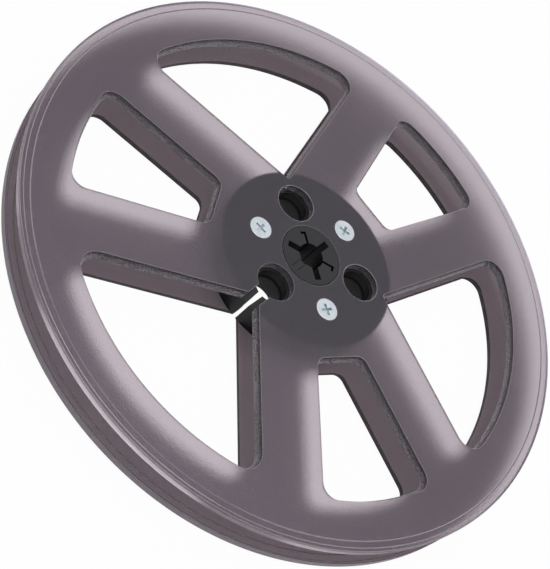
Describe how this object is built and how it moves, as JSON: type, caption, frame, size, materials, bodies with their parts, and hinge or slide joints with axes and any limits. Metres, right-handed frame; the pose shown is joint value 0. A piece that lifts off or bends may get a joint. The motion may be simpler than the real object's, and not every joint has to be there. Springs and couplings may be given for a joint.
{
  "type": "audio tape reel",
  "caption": "Open reel for quarter-inch audio tape, with two smoked translucent flanges with windows, screwed to a black hub with a slotted spindle bush.",
  "frame": {"origin": "on the spindle axis, in the plane of the rear flange's outer face, which the reel rests on", "axes": "+Z along the spindle axis, from the rear flange to the front flange; -Y towards the threading slot in the hub"},
  "size_m": [0.178, 0.178, 0.0133],
  "materials": {
    "smoked_plastic": "satin, translucent smoked polystyrene with a fine frosted grain",
    "black_plastic": "moulded, matt",
    "bush_plastic": "moulded, satin",
    "zinc_screw": "bright zinc plated"
  },
  "bodies": {
    "root": {"front_flange": "smoked_plastic", "rear_flange": "smoked_plastic", "hub_core": "black_plastic", "spindle_bush": "bush_plastic", "front_screw_1": "zinc_screw", "front_screw_2": "zinc_screw", "front_screw_3": "zinc_screw", "rear_screw_1": "zinc_screw", "rear_screw_2": "zinc_screw", "rear_screw_3": "zinc_screw"}
  },
  "joints": []
}
